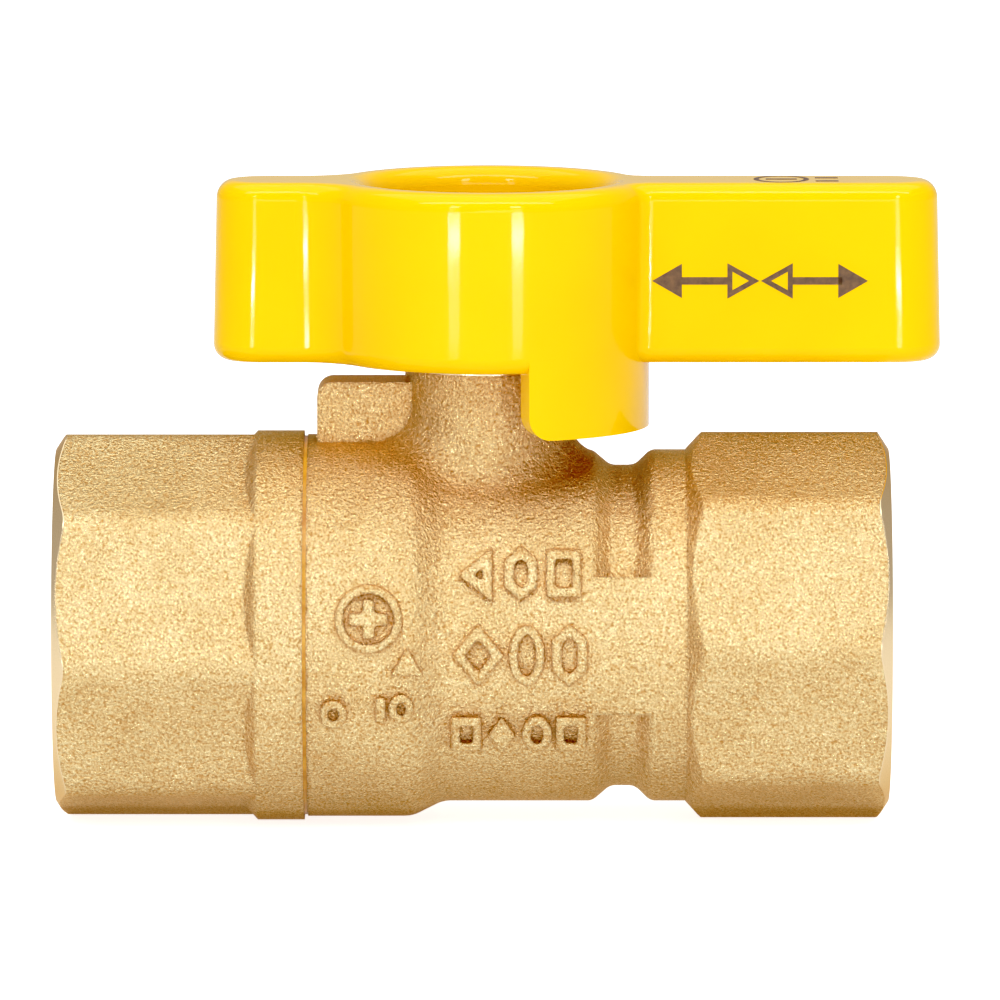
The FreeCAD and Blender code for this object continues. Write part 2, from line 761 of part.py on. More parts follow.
def make_handle():
    body = new_piece("handle")
    height = "Sizes.lever_top - Sizes.lever_bottom"
    sketch = new_sketch(body, "arms_outline", "XY_Plane", "Sizes.lever_bottom")
    half = "Sizes.arm_width / 2"
    draw_outline(
        sketch,
        [
            ("-Sizes.short_arm", f"-{half}"),
            ("Sizes.long_arm", f"-{half}"),
            ("Sizes.long_arm", half),
            ("-Sizes.short_arm", half),
        ],
    )
    pad(body, sketch, "arms", height, taper="-Sizes.arm_taper")
    ends = (value("Sizes.long_arm"), -value("Sizes.short_arm"))
    half_width = value("Sizes.arm_width") / 2
    round_edges(
        body,
        "arm_corner_round",
        "Sizes.arm_corner_round",
        lambda edge: any(is_upright(edge, end, side * half_width) for end in ends for side in (-1, 1)),
    )
    sketch = new_sketch(body, "hub_outline", "XY_Plane", "Sizes.lever_bottom")
    draw_circle(sketch, "Sizes.hub_radius")
    pad(body, sketch, "hub", height)
    hub_radius = value("Sizes.hub_radius")
    along = math.sqrt(hub_radius ** 2 - half_width ** 2)
    for name, end in (("long_arm_root_round", 1), ("short_arm_root_round", -1)):
        round_edges(
            body,
            name,
            f"Sizes.{name}",
            lambda edge: any(is_upright(edge, end * along, side * half_width) for side in (-1, 1)),
        )
    bottom = value("Sizes.lever_bottom")
    top = value("Sizes.lever_top")
    round_edges(
        body,
        "lever_foot_round",
        "Sizes.lever_foot_round",
        lambda edge: edge.BoundBox.ZLength < 0.01 and abs(edge.BoundBox.ZMax - bottom) < 0.01,
    )
    sketch = new_sketch(body, "cup_outline", "XY_Plane", "Sizes.lever_top")
    draw_circle(sketch, "Sizes.cup_radius")
    pocket(body, sketch, "cup", "Sizes.lever_top - Sizes.web_top")
    round_edges(
        body,
        "lever_edge_round",
        "Sizes.lever_edge_round",
        lambda edge: edge.BoundBox.ZLength < 0.01 and abs(edge.BoundBox.ZMax - top) < 0.01,
    )
    stop_skirt(body)
    sketch = new_sketch(body, "stem_hole_outline", "XY_Plane", "Sizes.web_top")
    hole_radius = "(Sizes.stem_radius + Sizes.lever_hole_gap)"
    flat = "(Sizes.stem_flats / 2 + Sizes.lever_hole_gap)"
    rise = f"sqrt({hole_radius} ^ 2 - {flat} ^ 2)"
    draw_double_d(sketch, hole_radius, flat, rise)
    pocket(body, sketch, "stem_hole", "Sizes.web_top - Sizes.lever_bottom")


def draw_double_d(sketch, radius, flat, rise):
    """A circle with two opposite flats facing along X."""
    across = value(flat)
    up = value(rise)
    size = value(radius)
    corners = [
        FreeCAD.Vector(across, -up, 0),
        FreeCAD.Vector(across, up, 0),
        FreeCAD.Vector(-across, up, 0),
        FreeCAD.Vector(-across, -up, 0),
    ]
    sketch.addGeometry(Part.LineSegment(corners[0], corners[1]), False)
    sketch.addGeometry(Part.Arc(corners[1], FreeCAD.Vector(0, size, 0), corners[2]), False)
    sketch.addGeometry(Part.LineSegment(corners[2], corners[3]), False)
    sketch.addGeometry(Part.Arc(corners[3], FreeCAD.Vector(0, -size, 0), corners[0]), False)
    for index in range(4):
        sketch.addConstraint(Sketcher.Constraint("Coincident", index, 2, (index + 1) % 4, 1))
    for index in (1, 3):
        sketch.addConstraint(Sketcher.Constraint("Coincident", index, 3, -1, 1))
        fix(sketch, "Radius", (index,), radius)
    sketch.addConstraint(Sketcher.Constraint("Vertical", 0))
    sketch.addConstraint(Sketcher.Constraint("Vertical", 2))
    fix(sketch, "DistanceX", (-1, 1, 0, 1), flat)
    fix(sketch, "DistanceX", (-1, 1, 2, 1), f"-{flat}")


def stop_skirt(body):
    """The curved apron under the hub whose two edges meet the stop lugs."""
    sketch = new_sketch(body, "skirt_outline", "XZ_Plane")
    draw_outline(
        sketch,
        [
            ("Sizes.skirt_inner_radius", "Sizes.skirt_bottom"),
            ("Sizes.hub_radius", "Sizes.skirt_bottom"),
            ("Sizes.hub_radius", "Sizes.lever_bottom + 1"),
            ("Sizes.skirt_inner_radius", "Sizes.lever_bottom + 1"),
        ],
    )
    turn("PartDesign::Revolution", body, sketch, "skirt", "Z_Axis", "2 * Sizes.skirt_half_sweep")
    sweep = value("Sizes.skirt_half_sweep")
    bottom = value("Sizes.skirt_bottom")
    inner = value("Sizes.skirt_inner_radius")
    outer = value("Sizes.hub_radius")

    def is_skirt_corner(edge):
        middle = (edge.Vertexes[0].Point + edge.Vertexes[-1].Point) * 0.5
        turned = abs(math.degrees(math.atan2(middle.y, middle.x)))
        radial = inner < math.hypot(middle.x, middle.y) < outer
        return radial and abs(turned - sweep) < 0.5 and abs(middle.z - bottom) < 0.01

    round_edges(body, "skirt_corner_round", "Sizes.skirt_corner_round", is_skirt_corner)


def make_spring_washer():
    body = make_ring(
        "spring_washer",
        "Sizes.washer_hole_radius",
        "Sizes.spring_washer_radius",
        "Sizes.washer_top",
        "Sizes.spring_washer_top",
    )
    # The slanted slit of a split washer, cut through on the front right.
    sketch = new_sketch(body, "slit_outline", "XZ_Plane")
    lean = "(Sizes.spring_washer_top - Sizes.washer_top) / 2"
    half = "Sizes.spring_washer_slit / 2"
    draw_outline(
        sketch,
        [
            (f"-({lean}) - {half}", "Sizes.washer_top"),
            (f"-({lean}) + {half}", "Sizes.washer_top"),
            (f"{lean} + {half}", "Sizes.spring_washer_top"),
            (f"{lean} - {half}", "Sizes.spring_washer_top"),
        ],
    )
    pocket(body, sketch, "slit", "Sizes.spring_washer_radius", True)


def make_handle_nut():
    body = new_piece("handle_nut")
    sketch = new_sketch(body, "hexagon_outline", "XY_Plane", "Sizes.spring_washer_top")
    draw_outline(sketch, regular_corners(6, "Sizes.nut_flats", "0"))
    pad(body, sketch, "hexagon", "Sizes.nut_top - Sizes.spring_washer_top")
    margin = "1"
    turn_away(
        body,
        "top_bevel",
        "Z_Axis",
        [
            ("Sizes.nut_flats / 2", "Sizes.nut_top"),
            (f"Sizes.nut_flats / 2 + {margin}", "Sizes.nut_top"),
            (f"Sizes.nut_flats / 2 + {margin}", f"Sizes.nut_top - {margin} * tan(Sizes.nut_bevel_slope)"),
        ],
    )
    sketch = new_sketch(body, "hole_outline", "XY_Plane", "Sizes.nut_top")
    draw_circle(sketch, "Sizes.nut_hole_radius")
    pocket(body, sketch, "hole", "Sizes.nut_top - Sizes.spring_washer_top")


make_body()
make_end_cap()
make_joint_sealant()
make_ball()
make_seat("seat_body_side", 1)
make_seat("seat_cap_side", -1)
make_stem()
make_ring(
    "stem_thrust_washer",
    "Sizes.stem_bore_radius",
    "Sizes.flange_radius",
    "Sizes.flange_top",
    "Sizes.flange_bore_top",
)
make_o_ring("stem_o_ring_lower", "Sizes.lower_ring_height")
make_o_ring("stem_o_ring_upper", "Sizes.upper_ring_height")
make_handle()
make_ring(
    "flat_washer",
    "Sizes.washer_hole_radius",
    "Sizes.washer_radius",
    "Sizes.web_top",
    "Sizes.washer_top",
)
make_spring_washer()
make_handle_nut()

doc.recompute()
for item in doc.Objects:
    for state in item.State:
        if state in ("Invalid", "Error"):
            raise RuntimeError(f"{item.Label}: {state}")
for piece in pieces:
    if piece.Shape.isNull() or not piece.Shape.isValid() or len(piece.Shape.Solids) != 1:
        raise RuntimeError(f"{piece.Label}: not one valid solid")

os.makedirs("parts", exist_ok=True)
for piece in pieces:
    piece.Shape.exportStep(f"parts/{piece.Label}.step")
    box = piece.Shape.BoundBox
    print(
        f"{piece.Label:20s} volume {piece.Shape.Volume:9.1f} mm3 "
        f"x {box.XMin:6.2f}..{box.XMax:6.2f} y {box.YMin:6.2f}..{box.YMax:6.2f} z {box.ZMin:6.2f}..{box.ZMax:6.2f}"
    )
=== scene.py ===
import bpy
import math
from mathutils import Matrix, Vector


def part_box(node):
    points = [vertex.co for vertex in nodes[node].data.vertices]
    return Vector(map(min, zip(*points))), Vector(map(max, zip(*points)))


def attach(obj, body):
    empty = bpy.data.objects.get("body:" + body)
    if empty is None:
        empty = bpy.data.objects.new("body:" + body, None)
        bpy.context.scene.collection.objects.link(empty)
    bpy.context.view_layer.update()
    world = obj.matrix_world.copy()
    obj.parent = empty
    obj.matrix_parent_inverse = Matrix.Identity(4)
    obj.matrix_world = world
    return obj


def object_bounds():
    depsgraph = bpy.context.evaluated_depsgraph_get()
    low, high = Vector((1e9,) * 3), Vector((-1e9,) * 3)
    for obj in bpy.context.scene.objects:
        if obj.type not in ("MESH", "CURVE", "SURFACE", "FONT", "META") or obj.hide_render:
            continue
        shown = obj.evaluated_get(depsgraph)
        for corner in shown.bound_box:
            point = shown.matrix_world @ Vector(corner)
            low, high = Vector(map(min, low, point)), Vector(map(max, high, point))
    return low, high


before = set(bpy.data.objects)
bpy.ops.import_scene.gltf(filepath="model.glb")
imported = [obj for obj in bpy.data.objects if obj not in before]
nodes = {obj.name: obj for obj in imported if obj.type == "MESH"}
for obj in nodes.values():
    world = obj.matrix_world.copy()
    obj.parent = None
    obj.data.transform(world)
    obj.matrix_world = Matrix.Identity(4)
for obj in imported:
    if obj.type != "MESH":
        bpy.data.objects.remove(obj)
cad_box = [list(corner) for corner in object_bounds()]
MM = 0.001

# ---------------------------------------------------------------------------------------------
# Ball: brass, hard chromed and lapped. Turning it against the seats leaves faint rings about
# the stem's axis.


def new_material(name):
    """A material with a bare Principled shader; returned with its tree, its shader and the place
    on the piece, in metres."""
    material = bpy.data.materials.new(name)
    material.use_nodes = True
    tree = material.node_tree
    tree.nodes.clear()
    shader = tree.nodes.new("ShaderNodeBsdfPrincipled")
    output = tree.nodes.new("ShaderNodeOutputMaterial")
    tree.links.new(shader.outputs[0], output.inputs[0])
    return material, tree, shader, add(tree, "TexCoord").outputs["Object"]


def feed(node, **inputs):
    """Sets or links inputs of a node: by name, or by number as in i0."""
    for key, given in inputs.items():
        number = key[1:]
        socket = node.inputs[int(number) if number.isdigit() else key.replace("_", " ")]
        if isinstance(given, bpy.types.NodeSocket):
            node.id_data.links.new(given, socket)
        else:
            socket.default_value = given
    return node


def add(tree, kind, settings=None, **inputs):
    """A new shader node with its settings and inputs."""
    node = tree.nodes.new("ShaderNode" + kind)
    for key, setting in (settings or {}).items():
        setattr(node, key, setting)
    return feed(node, **inputs)


def noise(tree, place, scale, detail, roughness=0.5):
    node = add(tree, "TexNoise", Vector=place, Scale=scale, Detail=detail, Roughness=roughness)
    return node.outputs[0]


def calculate(tree, operation, first, second):
    return add(tree, "Math", {"operation": operation}, i0=first, i1=second).outputs[0]


def new_group(name, inputs, outputs):
    """An empty node group of float sockets; returned with its entry and its exit."""
    group = bpy.data.node_groups.new(name, "ShaderNodeTree")
    sockets = group.interface
    for socket_name, default in inputs.items():
        socket = sockets.new_socket(socket_name, in_out="INPUT", socket_type="NodeSocketFloat")
        socket.default_value = default
    for socket_name in outputs:
        sockets.new_socket(socket_name, in_out="OUTPUT", socket_type="NodeSocketFloat")
    return group, group.nodes.new("NodeGroupInput"), group.nodes.new("NodeGroupOutput")


def use_group(tree, group, **inputs):
    node = tree.nodes.new("ShaderNodeGroup")
    node.node_tree = group
    return feed(node, **inputs)


def blend(tree, factor, low, high, first, second):
    """A colour that runs from first to second as the factor goes from low to high."""
    node = add(tree, "ValToRGB", i0=factor)
    for element, place, shade in zip(node.color_ramp.elements, (low, high), (first, second)):
        element.position = place
        element.color = (*shade, 1.0)
    return node.outputs[0]


def dress(material, *names):
    """Gives CAD nodes their finish."""
    for name in names:
        for slot in nodes[name].material_slots:
            slot.material = material


# Fine tool marks, as a height that varies along one coordinate only.
turned_lines, entry, leave = new_group(
    "turned lines", {"Along": 0.0, "Pitch": 0.1 * MM}, ["Height"]
)
steps = calculate(turned_lines, "DIVIDE", entry.outputs[0], entry.outputs[1])
lines = add(
    turned_lines,
    "TexNoise",
    {"noise_dimensions": "1D"},
    W=steps,
    Scale=1.0,
    Detail=2.0,
    Roughness=0.6,
)
turned_lines.links.new(lines.outputs[0], leave.inputs[0])

material, tree, shader, place = new_material("lapped chrome")
height = add(tree, "SeparateXYZ", i0=place).outputs[2]
lines = use_group(tree, turned_lines, Along=height, Pitch=0.15 * MM).outputs[0]
haze = noise(tree, place, 400.0, 4.0)
rough = add(tree, "MapRange", i0=haze, i3=0.06, i4=0.20).outputs[0]
bump = add(tree, "Bump", Strength=0.08, Distance=0.02 * MM, Height=lines).outputs[0]
tone = blend(tree, haze, 0.3, 0.7, (0.78, 0.79, 0.80), (0.90, 0.91, 0.92))
feed(shader, Base_Color=tone, Metallic=1.0, Roughness=rough, Normal=bump)
dress(material, "ball")

# ---------------------------------------------------------------------------------------------
# Seats and thrust washer: turned from white PTFE, waxy, with faint tool lines. The seats are
# pressed into their pockets on both sides of the ball, and the washer lies on the stem's flange.

material, tree, shader, place = new_material("turned ptfe")
along = add(tree, "SeparateXYZ", i0=place).outputs[0]
lines = use_group(tree, turned_lines, Along=along, Pitch=0.12 * MM).outputs[0]
haze = noise(tree, place, 300.0, 3.0)
tone = blend(tree, haze, 0.3, 0.7, (0.84, 0.83, 0.79), (0.92, 0.92, 0.90))
bump = add(tree, "Bump", Strength=0.2, Distance=0.03 * MM, Height=lines).outputs[0]
feed(shader, Base_Color=tone, Roughness=0.42, Normal=bump)
feed(shader, Subsurface_Weight=0.2, Subsurface_Scale=1.0 * MM)
dress(material, "seat_body_side", "seat_cap_side", "stem_thrust_washer")

# ---------------------------------------------------------------------------------------------
# Stem: turned from brass bar, with tool lines round its axis. It is put in from inside the
# body, so that the gas can't blow it out, and its tang turns the ball.

material, tree, shader, place = new_material("turned brass")
height = add(tree, "SeparateXYZ", i0=place).outputs[2]
lines = use_group(tree, turned_lines, Along=height, Pitch=0.08 * MM).outputs[0]
haze = noise(tree, place, 500.0, 3.0)
tone = blend(tree, haze, 0.3, 0.7, (0.80, 0.58, 0.30), (0.92, 0.74, 0.45))
rough = add(tree, "MapRange", i0=haze, i3=0.22, i4=0.34).outputs[0]
bump = add(tree, "Bump", Strength=0.3, Distance=0.02 * MM, Height=lines).outputs[0]
feed(shader, Base_Color=tone, Metallic=1.0, Roughness=rough, Normal=bump)
dress(material, "stem")

# ---------------------------------------------------------------------------------------------
# O-rings: moulded nitrile rubber, black and slightly greased, stretched into the two grooves
# of the stem.

material, tree, shader, place = new_material("nitrile rubber")
haze = noise(tree, place, 1500.0, 3.0)
tone = blend(tree, haze, 0.3, 0.7, (0.012, 0.012, 0.013), (0.030, 0.030, 0.031))
rough = add(tree, "MapRange", i0=haze, i3=0.35, i4=0.60).outputs[0]
bump = add(tree, "Bump", Strength=0.2, Distance=0.02 * MM, Height=haze).outputs[0]
feed(shader, Base_Color=tone, Roughness=rough, Normal=bump)
dress(material, "stem_o_ring_lower", "stem_o_ring_upper")

# ---------------------------------------------------------------------------------------------
# Fasteners: a flat washer, a split washer and a nut of zinc-plated steel, which hold the lever
# down on the stem. The plating is patchy, between bright and dull.

material, tree, shader, place = new_material("zinc plate")
spangle = noise(tree, place, 1200.0, 4.0)
tone = blend(tree, spangle, 0.3, 0.7, (0.55, 0.57, 0.60), (0.78, 0.79, 0.80))
rough = add(tree, "MapRange", i0=spangle, i3=0.24, i4=0.42).outputs[0]
bump = add(tree, "Bump", Strength=0.2, Distance=0.02 * MM, Height=spangle).outputs[0]
feed(shader, Base_Color=tone, Metallic=1.0, Roughness=rough, Normal=bump)
dress(material, "flat_washer", "spring_washer", "handle_nut")

# ---------------------------------------------------------------------------------------------
# Joint sealant: cured amber resin that shows as a thin line between the cap's collar and the
# body, a little uneven and slightly see-through.

material, tree, shader, place = new_material("amber sealant")
mottle = noise(tree, place, 900.0, 3.0)
tone = blend(tree, mottle, 0.3, 0.7, (0.62, 0.27, 0.03), (0.92, 0.50, 0.07))
bump = add(tree, "Bump", Strength=0.4, Distance=0.05 * MM, Height=mottle).outputs[0]
feed(shader, Base_Color=tone, Roughness=0.32, Normal=bump)
feed(shader, Subsurface_Weight=0.15, Subsurface_Scale=0.5 * MM)
dress(material, "joint_sealant")

# ---------------------------------------------------------------------------------------------
# Lever: a die casting under a thick glossy yellow coating, which flows softly over the casting
# and shows a faint orange peel and small scuffs.

material, tree, shader, place = new_material("yellow coating")
flow = noise(tree, place, 90.0, 2.0)
tone = blend(tree, flow, 0.35, 0.7, (0.97, 0.585, 0.0), (0.95, 0.54, 0.0))
peel = noise(tree, place, 420.0, 2.0)
drawn = add(tree, "Mapping", Vector=place, Scale=(1.0, 1.0, 6.0)).outputs[0]
scuffs = noise(tree, drawn, 2600.0, 4.0, 0.7)
rough = add(tree, "MapRange", i0=scuffs, i1=0.66, i2=0.74, i3=0.16, i4=0.40).outputs[0]
bump = add(tree, "Bump", Strength=0.05, Distance=0.3 * MM, Height=peel).outputs[0]
bump = add(tree, "Bump", Strength=0.12, Distance=0.3 * MM, Height=flow, Normal=bump).outputs[0]
feed(shader, Base_Color=tone, Roughness=rough, Normal=bump)
feed(shader, Specular_IOR_Level=0.05, Coat_Weight=0.5, Coat_Roughness=0.05)
dress(material, "handle")

# ---------------------------------------------------------------------------------------------
# Printed signs on the lever: a thin film of grey-brown ink. The front of the long arm carries a
# valve sign between two flow arrows, and its top a ring with two bars.

ink, tree, shader, place = new_material("printing ink")
patchy = noise(tree, place, 2200.0, 3.0, 0.6)
tone = blend(tree, patchy, 0.35, 0.72, (0.085, 0.038, 0.016), (0.190, 0.090, 0.030))
bump = add(tree, "Bump", Strength=0.2, Distance=0.02 * MM, Height=patchy).outputs[0]
feed(shader, Base_Color=tone, Roughness=0.45, Normal=bump)

lever = nodes["handle"]
lever_low, lever_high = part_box("handle")
INK = 0.03 * MM
CLEAR = 2.0 * MM
HALF = math.pi / 2
QUARTER = HALF / 2


def turn_and_size(turn, half):
    """Turns the outline in edit mode, then stretches it to its half sizes along and across."""
    origin = (0.0, 0.0, 0.0)
    bpy.ops.mesh.select_all(action="SELECT")
    bpy.ops.transform.rotate(value=turn, orient_axis="Z", center_override=origin)
    bpy.ops.transform.resize(value=(half[0], half[1], 1.0), center_override=origin)


def flat_shape(sides, centre, half, turn=0.0, hollow=0.0, upward=False):
    """A flat polygon set off the front of the arm, or over its top; hollow leaves a rim only.

    Its corners lie on an ellipse of the given half sizes.
    """
    bpy.ops.object.select_all(action="DESELECT")
    bpy.ops.mesh.primitive_circle_add(vertices=sides, radius=1.0, fill_type="NGON")
    shape = bpy.context.object
    bpy.ops.object.mode_set(mode="EDIT")
    turn_and_size(turn, half)
    if hollow:
        bpy.ops.mesh.inset(thickness=hollow)
        bpy.ops.mesh.delete(type="FACE")
    bpy.ops.object.mode_set(mode="OBJECT")
    if upward:
        shape.location = (centre[0], centre[1], lever_high.z + CLEAR)
    else:
        shape.location = (centre[0], lever_low.y, centre[1])
        shape.rotation_euler = (HALF, 0.0, 0.0)
    bpy.ops.object.transform_apply(location=True, rotation=True, scale=True)
    return shape


def join(shapes, name):
    bpy.ops.object.select_all(action="DESELECT")
    for shape in shapes:
        shape.select_set(True)
    bpy.context.view_layer.objects.active = shapes[0]
    bpy.ops.object.join()
    shapes[0].name = name
    return shapes[0]


def finish_with(piece, kind, **settings):
    """Adds a modifier and applies it."""
    bpy.context.view_layer.objects.active = piece
    modifier = piece.modifiers.new(kind.lower(), kind)
    for key, setting in settings.items():
        setattr(modifier, key, setting)
    bpy.ops.object.modifier_apply(modifier=modifier.name)


def print_on_lever(shapes, name, axis):
    """Lays flat shapes on the lever along an axis and gives the ink its thickness."""
    piece = join(shapes, name)
    finish_with(
        piece,
        "SHRINKWRAP",
        target=lever,
        wrap_method="PROJECT",
        use_project_y=axis == "y",
        use_project_z=axis == "z",
        use_positive_direction=axis == "y",
        use_negative_direction=axis == "z",
        offset=0.0,
    )
    finish_with(piece, "SOLIDIFY", thickness=INK, offset=0.0)
    piece.data.materials.clear()
    piece.data.materials.append(ink)
    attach(piece, "handle_and_stem")


# On the front: an arrow head, its shaft and one half of the valve sign, to each side.
SIGN_X = 48.1 * MM
SIGN_Z = 24.1 * MM
HEAD = (1.35 * MM, 1.35 * MM)
SHAFT = (2.4 * MM, 0.36 * MM)
VALVE_HALF = (1.45 * MM, 1.4 * MM)
HEAD_OUT, SHAFT_OUT, VALVE_OUT = 6.0 * MM, 3.9 * MM, 1.5 * MM
LINE = 0.34 * MM
signs = []
for side in (-1, 1):
    outward, inward = side * HALF, -side * HALF
    signs.append(flat_shape(3, (SIGN_X + side * HEAD_OUT, SIGN_Z), HEAD, outward))
    signs.append(flat_shape(4, (SIGN_X + side * SHAFT_OUT, SIGN_Z), SHAFT, QUARTER))
    signs.append(flat_shape(3, (SIGN_X + side * VALVE_OUT, SIGN_Z), VALVE_HALF, inward, LINE))
print_on_lever(signs, "front_print", "y")

# On the top: a ring round a bar, then two short bars.
RING_X = 49.6 * MM
BARS_X = 52.7 * MM
TOP_Y = (lever_low.y + lever_high.y) / 2
BARS_Y = (TOP_Y - 1.3 * MM, TOP_Y + 0.9 * MM)
RING = (1.9 * MM, 2.3 * MM)
RING_LINE = 0.36 * MM
LONG_BAR = (1.5 * MM, 0.45 * MM)
SHORT_BAR = (1.1 * MM, 0.45 * MM)
signs = [
    flat_shape(40, (RING_X, TOP_Y), RING, hollow=RING_LINE, upward=True),
    flat_shape(4, (RING_X, TOP_Y), LONG_BAR, QUARTER, upward=True),
]
for bar_y in BARS_Y:
    signs.append(flat_shape(4, (BARS_X, bar_y), SHORT_BAR, QUARTER, upward=True))
print_on_lever(signs, "top_print", "z")

# ---------------------------------------------------------------------------------------------
# Body and end cap: hot-forged brass, blasted after forging, so that every outer face is finely
# pitted. The pipe faces, their bevels, the threads and the bores are turned afterwards and shine.

CAP_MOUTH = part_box("end_cap")[0].x
BODY_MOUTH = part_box("body")[1].x
BEVEL_START = 12.1 * MM
BEVEL_SLOPE = math.tan(math.radians(33.0))
BORE_LIMIT = 10.85 * MM
NECK_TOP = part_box("body")[1].z - 0.1 * MM
MARGIN = 0.06 * MM

# Pits and peaks left by blasting: their height, a mask of the peaks and a slow clouding.
blasted_grain, entry, leave = new_group(
    "blasted grain", {"Grain Size": 0.2 * MM}, ["Height", "Peaks", "Cloud"]
)
place = add(blasted_grain, "TexCoord").outputs["Object"]
often = calculate(blasted_grain, "DIVIDE", 1.0, entry.outputs[0])
seldom = calculate(blasted_grain, "MULTIPLY", often, 0.45)
fine = noise(blasted_grain, place, often, 3.0, 0.62)
broad = noise(blasted_grain, place, seldom, 1.0)
height = calculate(blasted_grain, "ADD", fine, calculate(blasted_grain, "MULTIPLY", broad, 0.8))
peaks = add(blasted_grain, "MapRange", i0=fine, i1=0.34, i2=0.64).outputs[0]
cloud = noise(blasted_grain, place, 160.0, 3.0, 0.6)
for index, socket in enumerate((height, peaks, cloud)):
    blasted_grain.links.new(socket, leave.inputs[index])


def mix(tree, kind, amount, first, second, **settings):
    """Two colours or two vectors, mixed."""
    number, exit_number = {"VECTOR": (4, 1), "RGBA": (6, 2)}[kind]
    inputs = {"i0": amount, f"i{number}": first, f"i{number + 1}": second}
    return add(tree, "Mix", {"data_type": kind, **settings}, **inputs).outputs[exit_number]


forged_brass, tree, shader, place = new_material("forged brass")
grain = use_group(tree, blasted_grain, Grain_Size=0.17 * MM)
tone = blend(tree, grain.outputs[1], 0.0, 1.0, (0.60, 0.32, 0.09), (1.0, 0.84, 0.49))
shade = blend(tree, grain.outputs[2], 0.35, 0.65, (0.90, 0.86, 0.80), (1.0, 1.0, 1.0))
dull = mix(tree, "RGBA", 1.0, tone, shade, blend_type="MULTIPLY")
# Painted shade: the colour darkens to brown in hollows, creases and at the roots of the marks, as
# far as the occlusion reaches.
valley = add(tree, "AmbientOcclusion", {"samples": 6}, Distance=1.6 * MM).outputs["AO"]
painted_shade = blend(tree, valley, 0.35, 0.85, (0.62, 0.42, 0.24), (1.0, 1.0, 1.0))
tone = mix(tree, "RGBA", 0.75, dull, painted_shade, blend_type="MULTIPLY")
rough = add(tree, "MapRange", i0=grain.outputs[1], i3=0.38, i4=0.24).outputs[0]
soft = add(tree, "Bevel", {"samples": 4}, Radius=0.45 * MM).outputs[0]
pitted = add(
    tree, "Bump", Strength=1.0, Distance=0.15 * MM, Height=grain.outputs[0], Normal=soft
).outputs[0]

parts = add(tree, "SeparateXYZ", i0=place)
along, height = parts.outputs[0], parts.outputs[2]
spoke = add(tree, "CombineXYZ", Y=parts.outputs[1], Z=height).outputs[0]
radius = add(tree, "VectorMath", {"operation": "LENGTH"}, i0=spoke).outputs["Value"]

# Turned where the mouth's face, its bevel, the bores or the top of the neck are.
inset = calculate(tree, "SUBTRACT", radius, BEVEL_START)
inset = calculate(tree, "MAXIMUM", calculate(tree, "MULTIPLY", inset, BEVEL_SLOPE), 0.0)
turned = calculate(tree, "GREATER_THAN", calculate(tree, "ADD", along, inset), BODY_MOUTH - MARGIN)
for another in (
    calculate(tree, "LESS_THAN", calculate(tree, "SUBTRACT", along, inset), CAP_MOUTH + MARGIN),
    calculate(tree, "LESS_THAN", radius, BORE_LIMIT),
    calculate(tree, "GREATER_THAN", height, NECK_TOP),
):
    turned = calculate(tree, "MAXIMUM", turned, another)
across = calculate(tree, "ADD", radius, along)
lines = use_group(tree, turned_lines, Along=across, Pitch=0.09 * MM).outputs[0]
smooth = add(tree, "Bump", Strength=0.25, Distance=0.02 * MM, Height=lines).outputs[0]
tone = mix(tree, "RGBA", turned, tone, (0.90, 0.72, 0.47, 1.0))
rough = add(tree, "MapRange", i0=turned, i3=rough, i4=0.26).outputs[0]
bump = mix(tree, "VECTOR", turned, pitted, smooth)
feed(shader, Base_Color=tone, Metallic=1.0, Roughness=rough, Normal=bump)
feed(shader, Specular_Tint=(0.85, 0.62, 0.35, 1.0))
dress(forged_brass, "body", "end_cap")

# ---------------------------------------------------------------------------------------------
# Forging marks: low relief of plain shapes standing 0.4 mm off the chamber and the barrel, soft
# at their edges because they were cut into the die and blasted with the rest.

CHAMBER_RADIUS = 13.1 * MM
BARREL_RADIUS = 12.05 * MM
RELIEF = 0.42 * MM
ROOT = 0.9 * MM
PRISM_DEPTH = 5.0 * MM
PRISM_SUNK = 1.5 * MM
TRIMMER_LENGTH = 80.0 * MM
FINE, MEDIUM, BROAD, SOLID = 0.6, 0.65, 0.7, 0.0


def prism(surface, sides, centre, half, turn, wall):
    """A polygon on the front of a round surface, a thin shell of it; a wall leaves a rim only.

    Its corners lie on an ellipse of the given half sizes. These, the centre and the wall are in
    millimetres.
    """
    bpy.ops.object.select_all(action="DESELECT")
    bpy.ops.mesh.primitive_cylinder_add(
        vertices=sides, radius=1.0, depth=PRISM_DEPTH, end_fill_type="NOTHING" if wall else "NGON"
    )
    shape = bpy.context.object
    bpy.ops.object.mode_set(mode="EDIT")
    turn_and_size(turn, (half[0] * MM, half[1] * MM))
    bpy.ops.object.mode_set(mode="OBJECT")
    shape.location = (centre[0] * MM, PRISM_SUNK - surface, centre[1] * MM)
    shape.rotation_euler = (HALF, 0.0, 0.0)
    bpy.ops.object.transform_apply(location=True, rotation=True, scale=True)
    if wall:
        finish_with(shape, "SOLIDIFY", thickness=wall * MM, offset=-1.0, use_even_offset=True)
    for operation, radius in (("INTERSECT", surface + RELIEF), ("DIFFERENCE", surface - ROOT)):
        bpy.ops.object.select_all(action="DESELECT")
        bpy.ops.mesh.primitive_cylinder_add(
            vertices=256,
            radius=radius,
            depth=TRIMMER_LENGTH,
            location=((CAP_MOUTH + BODY_MOUTH) / 2, 0.0, 0.0),
            rotation=(0.0, HALF, 0.0),
        )
        trimmer = bpy.context.object
        bpy.ops.object.transform_apply(location=True, rotation=True, scale=True)
        finish_with(shape, "BOOLEAN", operation=operation, object=trimmer, solver="EXACT")
        bpy.data.objects.remove(trimmer)
    return shape


